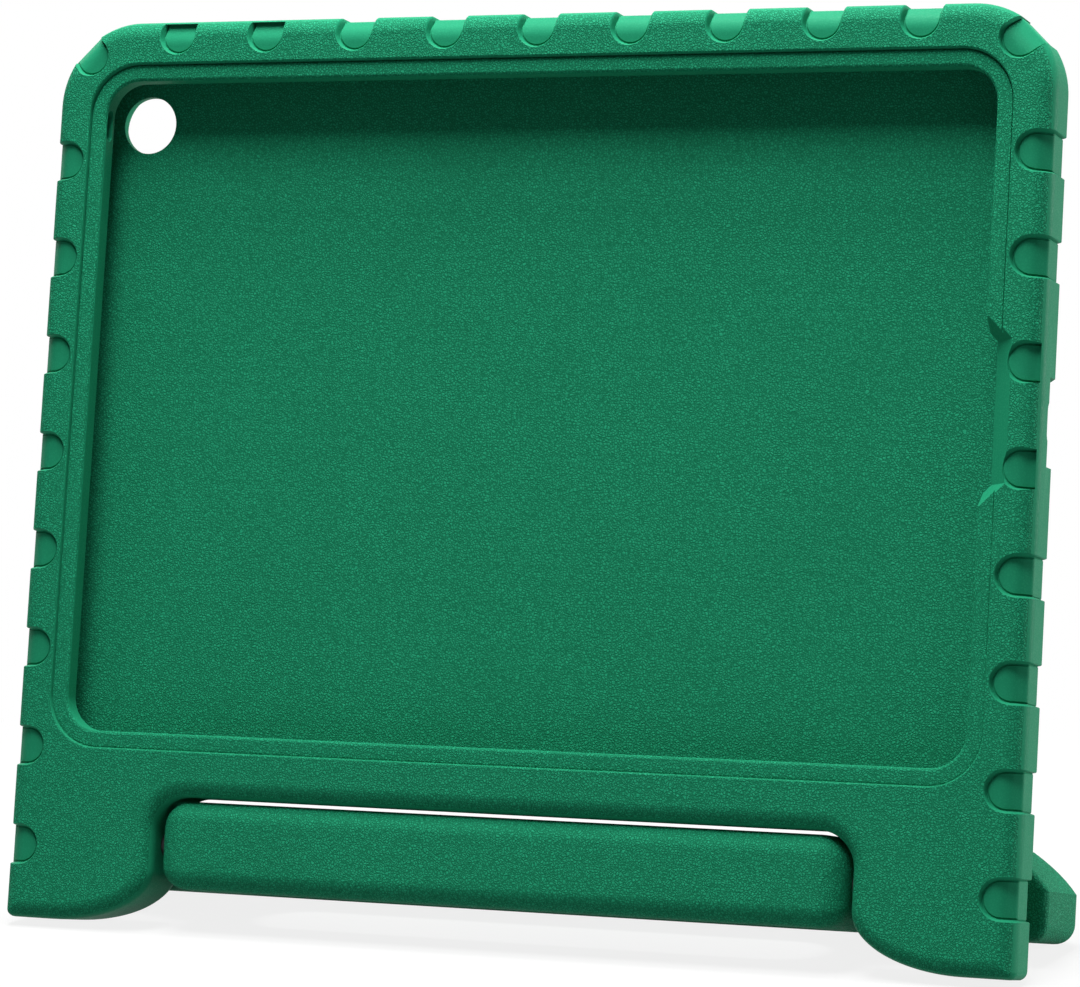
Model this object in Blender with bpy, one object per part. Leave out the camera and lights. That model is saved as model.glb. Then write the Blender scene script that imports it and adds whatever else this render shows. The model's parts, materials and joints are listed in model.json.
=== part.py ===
"""Kids tablet case: a moulded foam case whose carry handle swings back to be its stand.

Everything is modelled in the case's own frame, in metres: X to the right, Y up along the screen,
Z out of the screen towards the viewer, with the tablet's glass at Z = 0. An empty then leans the
case back on its handle, on a table at Z = 0 of the world.
"""
import math

import bmesh
import bpy
from mathutils import Matrix, Vector

# Tablet that the case holds, lying on its long side
TABLET_LENGTH = 0.2506
TABLET_WIDTH = 0.1741
TABLET_THICKNESS = 0.0075
TABLET_CORNER = 0.0090
POCKET_PLAY = 0.0005

# Walls and lip of the case
SIDE_WALL = 0.0085
TOP_WALL = 0.01275
BOTTOM_WALL = 0.01275
BACK_WALL = 0.0048
LIP_SIDE = 0.00605
LIP_LONG = 0.0032
LIP_THICKNESS = 0.0047
LIP_BAND = 0.0039
LIP_CORNER = 0.0090
LIP_EDGE = 0.0010
RIM_STEP = 0.0011
RIM_EDGE = 0.0005
BACK_RECESS = 0.0020
BACK_BORDER = 0.0190
BACK_CORNER = 0.0120

# Outline of the case
CORNER_RADIUS = 0.0220
LEG_LENGTH = 0.0327
LEG_WIDTH = 0.0413
LEG_CORNER = 0.0022
TOE_FLAT = 0.0023
TOE_HEIGHT = 0.0140
NOTCH_CORNER = 0.0090

# Section of the outer edge, shared by the case and its handle
SIDE_ROUND = 0.0044
SIDE_FLAT = 0.0080
SIDE_TAPER = 0.0110
TAPER_BULGE = 0.0010
EDGE_ROUND = 0.0044

# Grip grooves that wrap over the outer edge
GROOVE_WIDTH = 0.0100
GROOVE_FLANK = 0.0012
GROOVE_LENGTH = 0.0092
GROOVE_DEPTH = 0.0013
GROOVE_FLOOR_ROUND = 0.0065
GROOVE_STRIP = 0.0020
SIDE_PITCH = 0.0254
SIDE_GROOVES = 8
SIDE_GROOVES_ABOVE = 3
SIDE_CLOSED = (2, 3)
TOP_GROOVES = 9
TOP_END = 0.0123
TOP_CLOSED = (0, 1)

# Cut-outs for the tablet's own buttons and sockets
RELIEF_LENGTH = 0.0346
RELIEF_DEPTH = 0.00185
RELIEF_SLOPE = 0.88
RELIEF_RISE = 0.0010
PORT_LENGTH = 0.0120
PORT_HEIGHT = 0.0065
PORT_DISH_LENGTH = 0.0203
PORT_DISH_FLOOR = 0.0165
PORT_DISH_DEPTH = 0.0011
PORT_DROP = 0.0007
JACK_DIAMETER = 0.0070
JACK_FROM_EDGE = 0.0105
POWER_SLOT = 0.0080
POWER_SLOT_WIDTH = 0.0030
POWER_SLOT_DEPTH = 0.0030
POWER_SLOT_HEIGHT = 0.0023
POWER_FROM_EDGE = 0.0140
CAMERA_DIAMETER = 0.0150
CAMERA_FLARE = 0.0035
CAMERA_FROM_EDGE = 0.0120

# Handle and its hinge
BAR_HEIGHT = 0.0223
BAR_SETBACK = 0.0003
BAR_ROUND = 0.0050
BAR_END_ROUND = 0.0070
CEILING_GAP = 0.0010
BAR_END_GAP = 0.0012
SWING_GAP = 0.0005
ARM_GAP = 0.0018
HANDLE_INSET = 0.0013
HANDLE_REACH = 0.0605
HANDLE_CORNER = 0.0125
SHOULDER = 0.0155
SHOULDER_CORNER = 0.0015
GRIP_WIDTH = 0.0225
HINGE_WEB = 0.0025
HAND_HOLE_LENGTH = 0.1520
HAND_HOLE_SQUARENESS = 0.06
HAND_HOLE_ROUND = 0.0045
NEAR_CORNER = 0.0020
STAND_DROP = 0.9
PIN_DIAMETER = 0.0060
PIN_DEPTH = 0.0120
PIN_CHAMFER = 0.0006
PIN_GAP = 0.0003

# Facets of an arc of a quarter turn, and how far a cutter runs past what it cuts
ARC_STEPS = 8
ROUND_STEPS = 4
OVERCUT = 0.0020

# What follows from the sizes above
POCKET_X = TABLET_LENGTH / 2 + POCKET_PLAY
POCKET_Y = TABLET_WIDTH / 2 + POCKET_PLAY
POCKET_DEPTH = TABLET_THICKNESS + POCKET_PLAY
OPENING_X = POCKET_X - LIP_SIDE
OPENING_Y = POCKET_Y - LIP_LONG
FRONT = LIP_THICKNESS + RIM_STEP
BACK = -(POCKET_DEPTH + BACK_WALL + BACK_RECESS)
THICKNESS = FRONT - BACK
HALF_WIDTH = POCKET_X + SIDE_WALL
TOP = POCKET_Y + TOP_WALL
CEILING = -(POCKET_Y + BOTTOM_WALL)
BOTTOM = CEILING - LEG_LENGTH
NOTCH_X = HALF_WIDTH - LEG_WIDTH
TAPER_START = SIDE_ROUND + SIDE_FLAT
TOE_LENGTH = LEG_WIDTH - SIDE_TAPER - TOE_FLAT
TOP_PITCH = 2 * (HALF_WIDTH - CORNER_RADIUS - TOP_END) / (TOP_GROOVES - 1)

BAR_DEPTH = THICKNESS - 2 * BAR_SETBACK
BAR_X = NOTCH_X - BAR_END_GAP
HINGE_Y = CEILING - CEILING_GAP - BAR_HEIGHT / 2
HINGE_Z = (FRONT + BACK) / 2
HANDLE_X = HALF_WIDTH - HANDLE_INSET
HOLE_NEAR = BAR_DEPTH / 2 + HINGE_WEB
HOLE_FAR = HANDLE_REACH - GRIP_WIDTH
HAND_HOLE_CORNER = (HOLE_FAR - HOLE_NEAR) / 2 * (1 - HAND_HOLE_SQUARENESS)
BAR_SWING = math.hypot(BAR_DEPTH / 2 - BAR_ROUND, BAR_HEIGHT / 2 - BAR_ROUND) + BAR_ROUND


def material(name, colour, roughness, metallic=0.0):
    """Principled material of one flat colour."""
    finish = bpy.data.materials.new(name)
    finish.use_nodes = True
    shader = finish.node_tree.nodes["Principled BSDF"]
    shader.inputs["Base Color"].default_value = (*colour, 1.0)
    shader.inputs["Roughness"].default_value = roughness
    shader.inputs["Metallic"].default_value = metallic
    finish.diffuse_color = (*colour, 1.0)
    return finish


def arc(centre, radii, start, end, steps=ARC_STEPS):
    """Points along an arc of an upright ellipse, from one angle in degrees to another."""
    points = []
    for step in range(steps + 1):
        angle = math.radians(start + (end - start) * step / steps)
        points.append((centre[0] + radii[0] * math.cos(angle), centre[1] + radii[1] * math.sin(angle)))
    return points


def mirrored(half):
    """A closed outline from its right-hand half, which runs from top to bottom."""
    return half + [(-x, y) for x, y in reversed(half)]


def rounded_rectangle(half_x, half_y, radius, steps=ARC_STEPS):
    """A rectangle about the origin with round corners, as a list of points."""
    corners = ((1, 1, 0), (-1, 1, 90), (-1, -1, 180), (1, -1, 270))
    points = []
    for sign_x, sign_y, start in corners:
        centre = (sign_x * (half_x - radius), sign_y * (half_y - radius))
        points += arc(centre, (radius, radius), start, start + 90, steps)
    return points


def round_inset(radius, depth):
    """How far a round edge stands back from its side, at a depth below its face."""
    if depth >= radius:
        return 0.0
    return radius - math.sqrt(radius ** 2 - (radius - depth) ** 2)


def taper_inset(height, run):
    """How far the outer side has tapered in, at a height above the back of a taper so long."""
    along = min(max(1 - height / run, 0.0), 1.0)
    return SIDE_TAPER * along - TAPER_BULGE * 4 * along * (1 - along)


def mesh_object(name, shape, finish=None):
    """Turn a bmesh into an object of the scene."""
    bmesh.ops.recalc_face_normals(shape, faces=shape.faces)
    mesh = bpy.data.meshes.new(name)
    shape.to_mesh(mesh)
    shape.free()
    if finish:
        mesh.materials.append(finish)
    made = bpy.data.objects.new(name, mesh)
    bpy.context.scene.collection.objects.link(made)
    return made


def add_loft(shape, rings):
    """Skin closed rings of points that match one to one, and cap both ends."""
    loops = [[shape.verts.new(point) for point in ring] for ring in rings]
    count = len(loops[0])
    for lower, upper in zip(loops, loops[1:]):
        for index in range(count):
            following = (index + 1) % count
            shape.faces.new((lower[index], lower[following], upper[following], upper[index]))
    shape.faces.new(loops[0])
    shape.faces.new(loops[-1])


def loft(name, rings, finish=None):
    """A solid skinned over rings of points."""
    shape = bmesh.new()
    add_loft(shape, rings)
    return mesh_object(name, shape, finish)


def flat_rings(levels):
    """Rings in planes of constant Z from pairs of an outline and its height."""
    return [[(x, y, z) for x, y in outline] for outline, z in levels]


def cut(target, cutter):
    """Take a cutter's solid out of a target, and keep the cutter as a hidden guide."""
    cutter.hide_render = True
    cutter.display_type = "WIRE"
    cutter.parent = target.parent
    step = target.modifiers.new(cutter.name, "BOOLEAN")
    step.operation = "DIFFERENCE"
    step.solver = "EXACT"
    step.object = cutter


def smooth(target):
    """Shade round faces smooth and keep the creases."""
    target.data.shade_smooth()
    target.data.set_sharp_from_angle(angle=math.radians(32))


def case_outline(side, edge):
    """The case's outline, inset on its outer sides and on the edges of its notch and legs."""
    outer = HALF_WIDTH - side
    corner = CORNER_RADIUS - side
    heel = max(LEG_CORNER - max(side, edge), LEG_CORNER / 6)
    toe = (NOTCH_X + TOE_LENGTH, BOTTOM + TOE_HEIGHT)
    inner = (NOTCH_X - NOTCH_CORNER, CEILING - NOTCH_CORNER)
    half = arc((outer - corner, TOP - side - corner), (corner, corner), 90, 0)
    half += arc((outer - heel, BOTTOM + edge + heel), (heel, heel), 0, -90, 3)
    half += arc(toe, (TOE_LENGTH - edge, TOE_HEIGHT - edge), -90, -180)
    half += arc(inner, (NOTCH_CORNER + edge, NOTCH_CORNER + edge), 0, 90)
    return mirrored(half)


def edge_depths(thickness, radius):
    """Depths below the front at which a section with round edges is drawn."""
    depths = [radius * (1 - math.cos(math.radians(90 * step / ROUND_STEPS)))
              for step in range(ROUND_STEPS + 1)]
    back_depths = [thickness - depth for depth in reversed(depths)]
    return depths + [TAPER_START, (TAPER_START + back_depths[0]) / 2] + back_depths


def side_inset(thickness, depth):
    """How far the outer side stands back at a depth, from its round edge and its taper."""
    return round_inset(SIDE_ROUND, depth) + taper_inset(thickness - depth, thickness - TAPER_START)


def edge_inset(thickness, depth, radius):
    """How far an edge that is round at the front and at the back stands back at a depth."""
    return round_inset(radius, depth) + round_inset(radius, thickness - depth)


def case_body(finish):
    """The whole outer form of the case, still solid."""
    levels = []
    for depth in edge_depths(THICKNESS, EDGE_ROUND):
        outline = case_outline(side_inset(THICKNESS, depth), edge_inset(THICKNESS, depth, EDGE_ROUND))
        levels.append((outline, FRONT - depth))
    return loft("case_shell", flat_rings(levels), finish)


def screen_cutter():
    """Pocket for the tablet, the opening in front of its glass and the step of the rim."""
    lip_x = OPENING_X + LIP_BAND
    lip_y = OPENING_Y + LIP_BAND
    lip_corner = LIP_CORNER + LIP_BAND
    pocket = rounded_rectangle(POCKET_X, POCKET_Y, TABLET_CORNER)

    def opening(grow):
        return rounded_rectangle(OPENING_X + grow, OPENING_Y + grow, LIP_CORNER + grow)

    def step(grow):
        return rounded_rectangle(lip_x + grow, lip_y + grow, lip_corner + grow)

    levels = [(pocket, -POCKET_DEPTH), (pocket, 0.0), (opening(0.0), 0.0),
              (opening(0.0), LIP_THICKNESS - LIP_EDGE),
              (opening(LIP_EDGE * 0.3), LIP_THICKNESS - LIP_EDGE * 0.3),
              (opening(LIP_EDGE), LIP_THICKNESS),
              (step(0.0), LIP_THICKNESS),
              (step(RIM_EDGE * 0.2), FRONT - RIM_EDGE),
              (step(RIM_EDGE), FRONT),
              (step(RIM_EDGE), FRONT + OVERCUT)]
    return loft("screen_cutter", flat_rings(levels))


def relief_cutter():
    """Sloped relief in the lip beside the home button."""
    levels = []
    for z in (-POCKET_PLAY, FRONT + OVERCUT):
        out = OPENING_X + RELIEF_DEPTH + RELIEF_SLOPE * z
        half = RELIEF_LENGTH / 2
        wide = half + out - OPENING_X
        inside = OPENING_X - OVERCUT
        outline = [(inside, -wide), (OPENING_X, -wide), (out, -half), (out, half),
                   (OPENING_X, wide), (inside, wide)]
        levels.append(([(x, y + RELIEF_RISE) for x, y in outline], z))
    return loft("relief_cutter", flat_rings(levels))


def floor_height(out):
    """Height of a groove's floor at a place inwards of the case's side."""
    start = -GROOVE_FLANK - GROOVE_FLOOR_ROUND
    flat = FRONT - GROOVE_DEPTH
    if out <= start:
        return flat
    return flat - GROOVE_FLOOR_ROUND + math.sqrt(GROOVE_FLOOR_ROUND ** 2 - (out - start) ** 2)


def land_height(out):
    """Height of the rim's surface at a place inwards of the case's side."""
    if out <= -SIDE_ROUND:
        return FRONT
    return FRONT - SIDE_ROUND + math.sqrt(SIDE_ROUND ** 2 - (out + SIDE_ROUND) ** 2)


def groove_sections(closed):
    """Sections along a groove: floor and land as (out, z), and the half width of each.

    The groove starts with a half-round end on the front and runs over the edge, down the side
    and out through the back. A closed one stops at a strip just inside the side.
    """
    land_radius = GROOVE_WIDTH / 2
    floor_radius = land_radius - GROOVE_FLANK
    centre = land_radius - GROOVE_LENGTH
    sections = []
    for step in range(5):
        angle = math.radians(90 * step / 4)
        floor_out = centre - floor_radius * math.cos(angle)
        land_out = centre - land_radius * math.cos(angle)
        sections.append(((floor_out, floor_height(floor_out)), (land_out, land_height(land_out)),
                         floor_radius * math.sin(angle), land_radius * math.sin(angle)))
    if closed:
        sections = [(floor, (land[0], FRONT), floor_half, land_half)
                    for floor, land, floor_half, land_half in sections]
        end = -GROOVE_STRIP
        sections.append(((end, floor_height(end)), (end, FRONT), floor_radius, land_radius))
        return sections
    floor_start = math.degrees(math.acos((centre + GROOVE_FLANK + GROOVE_FLOOR_ROUND) / GROOVE_FLOOR_ROUND))
    for step in range(1, 5):
        share = 1 - step / 4
        floor_angle = math.radians(floor_start * share)
        land_angle = math.radians(90 * share)
        floor = (-GROOVE_FLANK + GROOVE_FLOOR_ROUND * (math.cos(floor_angle) - 1),
                 FRONT - GROOVE_DEPTH + GROOVE_FLOOR_ROUND * (math.sin(floor_angle) - 1))
        land = (SIDE_ROUND * (math.cos(land_angle) - 1),
                FRONT + SIDE_ROUND * (math.sin(land_angle) - 1))
        sections.append((floor, land, floor_radius, land_radius))
    run = THICKNESS - TAPER_START
    for share in (0.0, 0.4, 0.75, 1.0 + OVERCUT / run):
        z = FRONT - TAPER_START - run * share
        out = -taper_inset(run * (1 - share), run) - max(share - 1, 0) * SIDE_TAPER
        sections.append(((out - GROOVE_FLANK, z), (out, z), floor_radius, land_radius))
    return sections


def add_groove(shape, origin, outward, closed):
    """One groove's cutter, at a point of the outline and cut square to it.

    Its drafted walls run on past the land, by as much again as the groove is deep.
    """
    lateral = Vector((-outward.y, outward.x, 0))
    rings = []
    for floor, land, floor_half, land_half in groove_sections(closed):
        clear = (2 * land[0] - floor[0], 2 * land[1] - floor[1])
        clear_half = 2 * land_half - floor_half
        ring = []
        for (out, z), half in ((floor, -floor_half), (floor, floor_half),
                               (clear, clear_half), (clear, -clear_half)):
            ring.append(origin + outward * out + lateral * half + Vector((0, 0, z)))
        rings.append(ring)
    add_loft(shape, rings)


def groove_cutter():
    """All the grip grooves: eight down each side, nine along the top and one at each corner."""
    shape = bmesh.new()
    for index in range(SIDE_GROOVES):
        y = (SIDE_GROOVES_ABOVE - 0.5 - index) * SIDE_PITCH
        add_groove(shape, Vector((HALF_WIDTH, y, 0)), Vector((1, 0, 0)), index in SIDE_CLOSED)
        add_groove(shape, Vector((-HALF_WIDTH, y, 0)), Vector((-1, 0, 0)), False)
    for index in range(TOP_GROOVES):
        x = (index - (TOP_GROOVES - 1) / 2) * TOP_PITCH
        add_groove(shape, Vector((x, TOP, 0)), Vector((0, 1, 0)), index in TOP_CLOSED)
    for side in (-1, 1):
        outward = Vector((side, 1, 0)).normalized()
        centre = Vector((side * (HALF_WIDTH - CORNER_RADIUS), TOP - CORNER_RADIUS, 0))
        add_groove(shape, centre + outward * CORNER_RADIUS, outward, False)
    bmesh.ops.remove_doubles(shape, verts=shape.verts, dist=1e-7)
    return mesh_object("groove_cutter", shape)


def back_cutter():
    """Shallow panel in the back, with sloped sides."""
    half_x = POCKET_X - BACK_BORDER
    half_y = POCKET_Y - BACK_BORDER
    levels = [(rounded_rectangle(half_x + grow, half_y + grow, BACK_CORNER + grow), BACK + z)
              for grow, z in ((0.0, BACK_RECESS), (BACK_RECESS, 0.0), (BACK_RECESS, -OVERCUT))]
    return loft("back_cutter", flat_rings(levels))


def swing_cutter():
    """Hollow in the notch's ceiling that the corners of the handle's bar swing through.

    It is turned about the hinge, and narrows towards both ends as the bar's ends do.
    """
    start = BAR_X - BAR_END_ROUND
    reach = BAR_END_ROUND + SWING_GAP
    half = []
    for angle in (0, 22.5, 45, 65, 80):
        half.append((start + reach * math.sin(math.radians(angle)),
                     BAR_SWING + SWING_GAP - reach * (1 - math.cos(math.radians(angle)))))
    profile = [(-x, radius) for x, radius in reversed(half)] + half
    rings = []
    for x, radius in profile:
        circle = arc((HINGE_Y, HINGE_Z), (radius, radius), 0, 352.5, 47)
        rings.append([(x, y, z) for y, z in circle])
    return loft("swing_cutter", rings)


def slot_cutter(name, length, height, low, high, y, z):
    """Slot with round ends that runs through a side wall, from one X to another."""
    outline = rounded_rectangle(length / 2, height / 2, height / 2 - 1e-5, 5)
    return loft(name, [[(x, y + across, z + up) for across, up in outline] for x in (low, high)])


def port_dish_cutter():
    """Dish with sloped ends in the side, round the charging socket's slot."""
    floor = PORT_DISH_FLOOR / 2
    spread = (PORT_DISH_LENGTH - PORT_DISH_FLOOR) / 2 * (1 + OVERCUT / PORT_DISH_DEPTH)
    low = HALF_WIDTH - PORT_DISH_DEPTH
    high = HALF_WIDTH + OVERCUT
    rings = []
    for z in (FRONT + OVERCUT, BACK - OVERCUT):
        rings.append([(low, -floor - PORT_DROP, z), (low, floor - PORT_DROP, z),
                      (high, floor + spread - PORT_DROP, z), (high, -floor - spread - PORT_DROP, z)])
    return loft("port_dish_cutter", rings)


def camera_cutter():
    """Round window in the back for the tablet's camera, flared outwards."""
    centre = (CAMERA_FROM_EDGE - TABLET_LENGTH / 2, TABLET_WIDTH / 2 - CAMERA_FROM_EDGE)
    levels = []
    for z, grow in ((OVERCUT - POCKET_DEPTH, 0.0), (-POCKET_DEPTH - BACK_WALL * 0.4, 0.0),
                    (BACK - OVERCUT, CAMERA_FLARE)):
        radius = CAMERA_DIAMETER / 2 + grow
        levels.append((arc(centre, (radius, radius), 0, 350, 35), z))
    return loft("camera_cutter", flat_rings(levels))


def pin_bore(name, side, low, high, centre):
    """Blind bore for a hinge pin, from one X to another on one side."""
    radius = PIN_DIAMETER / 2 + PIN_GAP
    circle = arc(centre, (radius, radius), 0, 345, 23)
    return loft(name, [[(side * x, y, z) for y, z in circle] for x in (low, high)])


def case_shell(finish, root):
    """The foam case, moulded in one piece."""
    body = case_body(finish)
    body.parent = root
    socket_z = -POCKET_DEPTH / 2
    cut(body, screen_cutter())
    cut(body, relief_cutter())
    cut(body, back_cutter())
    cut(body, swing_cutter())
    cut(body, port_dish_cutter())
    cut(body, slot_cutter("port_cutter", PORT_LENGTH, PORT_HEIGHT, POCKET_X - OVERCUT,
                          HALF_WIDTH + OVERCUT, -PORT_DROP, socket_z))
    cut(body, slot_cutter("jack_cutter", JACK_DIAMETER, JACK_DIAMETER, -HALF_WIDTH - OVERCUT,
                          OVERCUT - POCKET_X, JACK_FROM_EDGE - TABLET_WIDTH / 2, socket_z))
    cut(body, slot_cutter("power_cutter", POWER_SLOT, POWER_SLOT_WIDTH, -OPENING_X - POWER_SLOT_DEPTH,
                          OVERCUT - OPENING_X, TABLET_WIDTH / 2 - POWER_FROM_EDGE, POWER_SLOT_HEIGHT))
    cut(body, camera_cutter())
    for side, name in ((-1, "left"), (1, "right")):
        cut(body, pin_bore(f"leg_bore_{name}", side, NOTCH_X - OVERCUT, NOTCH_X + PIN_DEPTH + PIN_GAP,
                           (HINGE_Y, HINGE_Z)))
    cut(body, groove_cutter())
    smooth(body)
    return body


def handle_outline(side, edge, end_inset):
    """The handle's outline as (x, reach), inset on its outer sides, edges and bar's ends.

    Reach is measured from the hinge. The bar's end fits the notch, and the arms follow the
    round toes of the legs, so that the handle can hang straight down between and below them.
    """
    bar_corner = NOTCH_CORNER - BAR_END_GAP
    toe = (NOTCH_X + TOE_LENGTH, HINGE_Y - BOTTOM - TOE_HEIGHT)
    across = TOE_LENGTH + ARM_GAP + edge
    along = TOE_HEIGHT + ARM_GAP + edge
    shoulder = SHOULDER + edge
    lift = math.degrees(math.asin((shoulder - toe[1]) / along))
    outer = HANDLE_X - side
    near_corner = min(NEAR_CORNER, (outer - toe[0]) / 2)
    far_corner = HANDLE_CORNER - side
    half = arc((BAR_X - bar_corner, bar_corner - BAR_DEPTH / 2),
               (bar_corner - end_inset, bar_corner - edge), -90, 0)
    half += arc((BAR_X + SHOULDER_CORNER, SHOULDER - SHOULDER_CORNER),
                (SHOULDER_CORNER + end_inset, SHOULDER_CORNER + edge), 180, 90, 4)
    half += arc(toe, (across, along), 180 - lift, 90)
    half += arc((outer - near_corner, toe[1] + along + near_corner), (near_corner, near_corner), -90, 0, 3)
    half += arc((outer - far_corner, HANDLE_REACH - side - far_corner), (far_corner, far_corner), 0, 90)
    return mirrored(half)


def handle_body(finish):
    """The handle's outer form, still without its hand hole.

    Its front in the carrying position is its underside here, where it reaches back as a stand.
    """
    rings = []
    for depth in edge_depths(BAR_HEIGHT, BAR_ROUND):
        outline = handle_outline(side_inset(BAR_HEIGHT, depth), edge_inset(BAR_HEIGHT, depth, BAR_ROUND),
                                 edge_inset(BAR_HEIGHT, depth, BAR_END_ROUND))
        rings.append([(x, depth - BAR_HEIGHT / 2, -reach) for x, reach in outline])
    return loft("handle", rings, finish)


def hand_hole_cutter():
    """Hole for the hand, with rounded edges on both faces."""
    middle = (HOLE_NEAR + HOLE_FAR) / 2
    half_y = (HOLE_FAR - HOLE_NEAR) / 2
    half_x = HAND_HOLE_LENGTH / 2
    face = BAR_HEIGHT / 2
    steps = [90 * step / ROUND_STEPS for step in range(ROUND_STEPS + 1)]
    flare = [(face - HAND_HOLE_ROUND * (1 - math.cos(math.radians(angle))),
              HAND_HOLE_ROUND * (1 - math.sin(math.radians(angle)))) for angle in steps]
    heights = [(face + OVERCUT, HAND_HOLE_ROUND)] + flare
    heights += [(-y, grow) for y, grow in reversed(heights)]
    rings = []
    for y, grow in heights:
        outline = rounded_rectangle(half_x + grow, half_y + grow, HAND_HOLE_CORNER + grow)
        rings.append([(x, y, -middle - reach) for x, reach in outline])
    return loft("hand_hole_cutter", rings)


def handle(finish, hinge):
    """The foam handle, moulded in one piece, with its origin on the hinge."""
    body = handle_body(finish)
    body.parent = hinge
    cut(body, hand_hole_cutter())
    for side, name in ((-1, "left"), (1, "right")):
        cut(body, pin_bore(f"bar_bore_{name}", side, BAR_X - PIN_DEPTH - PIN_GAP, BAR_X + OVERCUT, (0, 0)))
    smooth(body)
    return body


def hinge_pin(name, side, finish, root):
    """Plastic pin that the handle turns on, half in the leg and half in the bar."""
    low = BAR_X - PIN_DEPTH
    high = NOTCH_X + PIN_DEPTH
    radius = PIN_DIAMETER / 2
    rings = []
    for x, size in ((low, radius - PIN_CHAMFER), (low + PIN_CHAMFER, radius),
                    (high - PIN_CHAMFER, radius), (high, radius - PIN_CHAMFER)):
        circle = arc((0, 0), (size, size), 0, 345, 23)
        rings.append([(side * x, y, z) for y, z in circle])
    pin = loft(name, rings, finish)
    pin.location = (0, HINGE_Y, HINGE_Z)
    pin.parent = root
    smooth(pin)
    return pin


def lowest(points, lean):
    """Lowest point of a set once the case leans back by an angle."""
    return min(y * math.cos(lean) + z * math.sin(lean) for _, y, z in points)


def set_on_table(root, case, arm, hinge):
    """Lean the case back until its legs and its handle both touch the table."""
    bpy.context.view_layer.update()
    legs = [tuple(vertex.co) for vertex in case.data.vertices]
    turn = Matrix.Translation(hinge.location) @ hinge.rotation_euler.to_matrix().to_4x4()
    stand = [tuple(turn @ vertex.co) for vertex in arm.data.vertices]
    low, high = 0.0, math.radians(40)
    for _ in range(40):
        lean = (low + high) / 2
        if lowest(stand, lean) > lowest(legs, lean):
            low = lean
        else:
            high = lean
    root.rotation_euler = (math.pi / 2 - lean, 0, 0)
    bpy.context.view_layer.update()
    world = root.matrix_world
    depths = [(world @ Vector(point)).y for point in legs + stand]
    root.location = (0, -(min(depths) + max(depths)) / 2, -lowest(legs, lean))


def main():
    """Build the case, its handle and the two pins between them."""
    for old in list(bpy.data.objects):
        bpy.data.objects.remove(old, do_unlink=True)

    foam = material("green_foam", (0.014, 0.205, 0.092), 0.75)
    pin_plastic = material("pin_plastic", (0.03, 0.03, 0.032), 0.45)

    root = bpy.data.objects.new("stand_pose", None)
    bpy.context.scene.collection.objects.link(root)
    hinge = bpy.data.objects.new("handle_hinge", None)
    bpy.context.scene.collection.objects.link(hinge)
    hinge.parent = root
    hinge.location = (0, HINGE_Y, HINGE_Z)
    hinge.rotation_euler = (math.radians(-STAND_DROP), 0, 0)

    case = case_shell(foam, root)
    arm = handle(foam, hinge)
    hinge_pin("hinge_pin_left", -1, pin_plastic, root)
    hinge_pin("hinge_pin_right", 1, pin_plastic, root)
    set_on_table(root, case, arm, hinge)
    bpy.context.view_layer.update()


main()
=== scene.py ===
import json
import math

import bmesh
import bpy
from mathutils import Matrix, Vector


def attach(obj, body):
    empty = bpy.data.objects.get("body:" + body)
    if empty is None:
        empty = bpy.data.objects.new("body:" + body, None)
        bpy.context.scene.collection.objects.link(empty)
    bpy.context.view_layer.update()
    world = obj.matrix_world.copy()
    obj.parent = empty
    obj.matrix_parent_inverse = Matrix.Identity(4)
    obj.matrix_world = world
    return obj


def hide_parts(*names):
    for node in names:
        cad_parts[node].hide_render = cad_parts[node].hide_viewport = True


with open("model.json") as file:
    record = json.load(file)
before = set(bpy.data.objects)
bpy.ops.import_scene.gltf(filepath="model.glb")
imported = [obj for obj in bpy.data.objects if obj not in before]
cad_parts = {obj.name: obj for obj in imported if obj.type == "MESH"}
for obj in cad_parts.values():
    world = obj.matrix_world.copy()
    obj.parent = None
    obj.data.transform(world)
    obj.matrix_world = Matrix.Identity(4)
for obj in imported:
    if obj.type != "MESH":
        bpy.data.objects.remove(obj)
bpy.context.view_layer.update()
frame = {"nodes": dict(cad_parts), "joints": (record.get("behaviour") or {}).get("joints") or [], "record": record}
print("frame loaded")

# Shapes are drawn in millimetres in the case's own frame: X right, Y up along the screen, Z out of
# the screen, with the tablet's glass at Z = 0. The frame says where that stands on the table.
millimetre = 0.001

# how far cutters run past the faces that they open
overcut = 2.0

caseShape = {
    "halfWidth": 134.3,
    "top": 100.3,
    "ceiling": -100.3,
    "bottom": -133.0,
    "front": 5.8,
    "back": -14.8,
    "cornerRadius": 22.0,
    "legCorner": 2.2,
    "legCornerParts": 6,
    "notchHalf": 93.0,
    "notchCorner": 9.0,
    "toeLength": 28.0,
    "toeHeight": 14.0,
    "sideRound": 5.0,
    "sideFlat": 7.4,
    "sideTaper": 11.0,
    "taperBulge": 1.0,
    "edgeRound": 4.4,
    "arcSteps": 16,
    "cornerSteps": 24,
    "smallSteps": 6,
    "roundSteps": 8,
    "taperShares": (0, 0.33, 0.66),
    "smoothFrom": 0.83,
}


# Outlines and rings

def arcPoints(centre, radii, start, end, steps=None):
    # points along an ellipse with upright axes, from one angle in degrees to another
    steps = steps or caseShape["arcSteps"]
    points = []
    for step in range(steps + 1):
        angle = math.radians(start + (end - start) * step / steps)
        points.append((centre[0] + radii[0] * math.cos(angle), centre[1] + radii[1] * math.sin(angle)))
    return points


def mirrorOutline(half):
    return half + [(-x, y) for x, y in reversed(half)]


def roundedBox(halfX, halfY, radius, steps=None):
    points = []
    for signX, signY, start in ((1, 1, 0), (-1, 1, 90), (-1, -1, 180), (1, -1, 270)):
        centre = (signX * (halfX - radius), signY * (halfY - radius))
        points += arcPoints(centre, (radius, radius), start, start + 90, steps)
    return points


def circlePoints(centre, radius, count):
    return arcPoints(centre, (radius, radius), 0, 360 - 360 / count, count - 1)


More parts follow.
